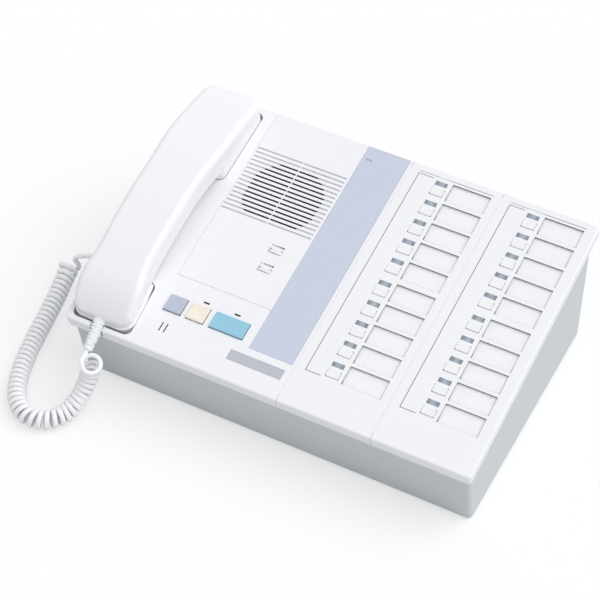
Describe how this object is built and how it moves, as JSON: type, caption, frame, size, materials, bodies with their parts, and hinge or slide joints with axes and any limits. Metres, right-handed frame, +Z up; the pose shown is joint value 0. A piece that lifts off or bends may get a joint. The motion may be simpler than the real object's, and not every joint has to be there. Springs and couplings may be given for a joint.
{
  "type": "nurse call master station",
  "caption": "Desktop intercom master station with a sloping top, curly-cord handset, speaker grille, speech keys, volume thumbwheels and rows of call buttons beside name cards.",
  "frame": {"origin": "centre of the footprint at the desk surface, the curly cord and its plug left out", "axes": "+X to the right along the front edge, +Y to the rear up the slope, +Z up"},
  "size_m": [0.3444, 0.2629, 0.113],
  "materials": {
    "case_grey": "fine matte grey moulding",
    "foot_rubber": "black rubber",
    "screw_steel": "zinc plated steel",
    "terminal_plastic": "black moulding",
    "cover_white": "fine matte off-white moulding",
    "strip_blue": "flat pale blue-grey sheet",
    "plate_grey": "blank satin label stock",
    "lamp_lens": "smoked light pipe",
    "board_green": "circuit laminate",
    "card_paper": "blank card",
    "card_window": "clear sheet",
    "switch_black": "black moulding",
    "key_grey_blue": "satin moulding",
    "key_cream": "satin moulding",
    "key_blue": "satin moulding",
    "call_white": "satin moulding",
    "wheel_white": "satin moulding",
    "capsule_metal": "plain",
    "speaker_steel": "black steel",
    "speaker_paper": "black paper",
    "speaker_magnet": "ferrite",
    "handset_white": "semi-gloss off-white moulding",
    "cord_white": "soft white sheath",
    "plug_clear": "translucent moulding"
  },
  "bodies": {
    "station": {"base_case": "case_grey", "rubber_feet": "foot_rubber", "case_screws": "screw_steel", "terminal_block": "terminal_plastic", "main_cover": "cover_white", "selector_cover_1": "cover_white", "selector_cover_2": "cover_white", "colour_strip": "strip_blue", "blank_plate": "plate_grey", "power_lens": "lamp_lens", "key_lamp_lenses": "lamp_lens", "selector_board_1": "board_green", "selector_board_2": "board_green", "call_lamp_lenses": "lamp_lens", "name_cards": "card_paper", "card_windows": "card_window", "call_switches": "switch_black", "main_board": "board_green", "key_switches": "switch_black", "volume_pots": "switch_black", "station_microphone": "capsule_metal", "speaker_frame": "speaker_steel", "speaker_cone": "speaker_paper", "speaker_magnet": "speaker_magnet", "hook_switch": "switch_black", "board_screws": "screw_steel", "handset_jack": "terminal_plastic", "base_plug": "plug_clear", "curly_cord": "cord_white"},
    "handset": {"handset_back": "handset_white", "handset_front": "handset_white", "receiver_capsule": "capsule_metal", "transmitter_capsule": "capsule_metal", "handset_strain_relief": "cord_white"},
    "hook": {"hook_button": "handset_white"},
    "off_key": {"off_button": "key_grey_blue"},
    "all_call_key": {"all_call_button": "key_cream"},
    "talk_key": {"talk_button": "key_blue"},
    "call_key_01": {"call_button_01": "call_white"},
    "call_key_02": {"call_button_02": "call_white"},
    "call_key_03": {"call_button_03": "call_white"},
    "call_key_04": {"call_button_04": "call_white"},
    "call_key_05": {"call_button_05": "call_white"},
    "call_key_06": {"call_button_06": "call_white"},
    "call_key_07": {"call_button_07": "call_white"},
    "call_key_08": {"call_button_08": "call_white"},
    "call_key_09": {"call_button_09": "call_white"},
    "call_key_10": {"call_button_10": "call_white"},
    "call_key_11": {"call_button_11": "call_white"},
    "call_key_12": {"call_button_12": "call_white"},
    "call_key_13": {"call_button_13": "call_white"},
    "call_key_14": {"call_button_14": "call_white"},
    "call_key_15": {"call_button_15": "call_white"},
    "call_key_16": {"call_button_16": "call_white"},
    "call_key_17": {"call_button_17": "call_white"},
    "call_key_18": {"call_button_18": "call_white"},
    "call_key_19": {"call_button_19": "call_white"},
    "call_key_20": {"call_button_20": "call_white"},
    "ring_wheel": {"ring_volume_wheel": "wheel_white"},
    "receive_wheel": {"receive_volume_wheel": "wheel_white"}
  },
  "joints": [
    {"name": "handset_lift", "type": "slide", "parent": "station", "child": "handset", "axis": [0, -0.184, 0.9829], "range_m": [0, 0.06], "deforming": ["curly_cord"]},
    {"name": "hook_rise", "type": "slide", "parent": "station", "child": "hook", "axis": [0, -0.184, 0.9829], "range_m": [0, 0.003]},
    {"name": "off_press", "type": "slide", "parent": "station", "child": "off_key", "axis": [0, 0.184, -0.9829], "range_m": [0, 0.0015], "stiffness_N_per_m": 800, "springref_m": -0.0005},
    {"name": "all_call_press", "type": "slide", "parent": "station", "child": "all_call_key", "axis": [0, 0.184, -0.9829], "range_m": [0, 0.0015], "stiffness_N_per_m": 800, "springref_m": -0.0005},
    {"name": "talk_press", "type": "slide", "parent": "station", "child": "talk_key", "axis": [0, 0.184, -0.9829], "range_m": [0, 0.0015], "stiffness_N_per_m": 800, "springref_m": -0.0005},
    {"name": "call_press_01", "type": "slide", "parent": "station", "child": "call_key_01", "axis": [0, 0.184, -0.9829], "range_m": [0, 0.0007], "stiffness_N_per_m": 800, "springref_m": -0.0005},
    {"name": "call_press_02", "type": "slide", "parent": "station", "child": "call_key_02", "axis": [0, 0.184, -0.9829], "range_m": [0, 0.0007], "stiffness_N_per_m": 800, "springref_m": -0.0005},
    {"name": "call_press_03", "type": "slide", "parent": "station", "child": "call_key_03", "axis": [0, 0.184, -0.9829], "range_m": [0, 0.0007], "stiffness_N_per_m": 800, "springref_m": -0.0005},
    {"name": "call_press_04", "type": "slide", "parent": "station", "child": "call_key_04", "axis": [0, 0.184, -0.9829], "range_m": [0, 0.0007], "stiffness_N_per_m": 800, "springref_m": -0.0005},
    {"name": "call_press_05", "type": "slide", "parent": "station", "child": "call_key_05", "axis": [0, 0.184, -0.9829], "range_m": [0, 0.0007], "stiffness_N_per_m": 800, "springref_m": -0.0005},
    {"name": "call_press_06", "type": "slide", "parent": "station", "child": "call_key_06", "axis": [0, 0.184, -0.9829], "range_m": [0, 0.0007], "stiffness_N_per_m": 800, "springref_m": -0.0005},
    {"name": "call_press_07", "type": "slide", "parent": "station", "child": "call_key_07", "axis": [0, 0.184, -0.9829], "range_m": [0, 0.0007], "stiffness_N_per_m": 800, "springref_m": -0.0005},
    {"name": "call_press_08", "type": "slide", "parent": "station", "child": "call_key_08", "axis": [0, 0.184, -0.9829], "range_m": [0, 0.0007], "stiffness_N_per_m": 800, "springref_m": -0.0005},
    {"name": "call_press_09", "type": "slide", "parent": "station", "child": "call_key_09", "axis": [0, 0.184, -0.9829], "range_m": [0, 0.0007], "stiffness_N_per_m": 800, "springref_m": -0.0005},
    {"name": "call_press_10", "type": "slide", "parent": "station", "child": "call_key_10", "axis": [0, 0.184, -0.9829], "range_m": [0, 0.0007], "stiffness_N_per_m": 800, "springref_m": -0.0005},
    {"name": "call_press_11", "type": "slide", "parent": "station", "child": "call_key_11", "axis": [0, 0.184, -0.9829], "range_m": [0, 0.0007], "stiffness_N_per_m": 800, "springref_m": -0.0005},
    {"name": "call_press_12", "type": "slide", "parent": "station", "child": "call_key_12", "axis": [0, 0.184, -0.9829], "range_m": [0, 0.0007], "stiffness_N_per_m": 800, "springref_m": -0.0005},
    {"name": "call_press_13", "type": "slide", "parent": "station", "child": "call_key_13", "axis": [0, 0.184, -0.9829], "range_m": [0, 0.0007], "stiffness_N_per_m": 800, "springref_m": -0.0005},
    {"name": "call_press_14", "type": "slide", "parent": "station", "child": "call_key_14", "axis": [0, 0.184, -0.9829], "range_m": [0, 0.0007], "stiffness_N_per_m": 800, "springref_m": -0.0005},
    {"name": "call_press_15", "type": "slide", "parent": "station", "child": "call_key_15", "axis": [0, 0.184, -0.9829], "range_m": [0, 0.0007], "stiffness_N_per_m": 800, "springref_m": -0.0005},
    {"name": "call_press_16", "type": "slide", "parent": "station", "child": "call_key_16", "axis": [0, 0.184, -0.9829], "range_m": [0, 0.0007], "stiffness_N_per_m": 800, "springref_m": -0.0005},
    {"name": "call_press_17", "type": "slide", "parent": "station", "child": "call_key_17", "axis": [0, 0.184, -0.9829], "range_m": [0, 0.0007], "stiffness_N_per_m": 800, "springref_m": -0.0005},
    {"name": "call_press_18", "type": "slide", "parent": "station", "child": "call_key_18", "axis": [0, 0.184, -0.9829], "range_m": [0, 0.0007], "stiffness_N_per_m": 800, "springref_m": -0.0005},
    {"name": "call_press_19", "type": "slide", "parent": "station", "child": "call_key_19", "axis": [0, 0.184, -0.9829], "range_m": [0, 0.0007], "stiffness_N_per_m": 800, "springref_m": -0.0005},
    {"name": "call_press_20", "type": "slide", "parent": "station", "child": "call_key_20", "axis": [0, 0.184, -0.9829], "range_m": [0, 0.0007], "stiffness_N_per_m": 800, "springref_m": -0.0005},
    {"name": "ring_volume_turn", "type": "hinge", "parent": "station", "child": "ring_wheel", "pos_m": [-0.0415, -0.00086, 0.0673], "axis": [0, 0.9829, 0.184], "range_deg": [-135, 135]},
    {"name": "receive_volume_turn", "type": "hinge", "parent": "station", "child": "receive_wheel", "pos_m": [-0.0415, -0.01649, 0.06437], "axis": [0, 0.9829, 0.184], "range_deg": [-135, 135]}
  ],
  "couplings": [
    {"joint": "hook_rise", "follows": "handset_lift", "ratio": 0.05}
  ]
}
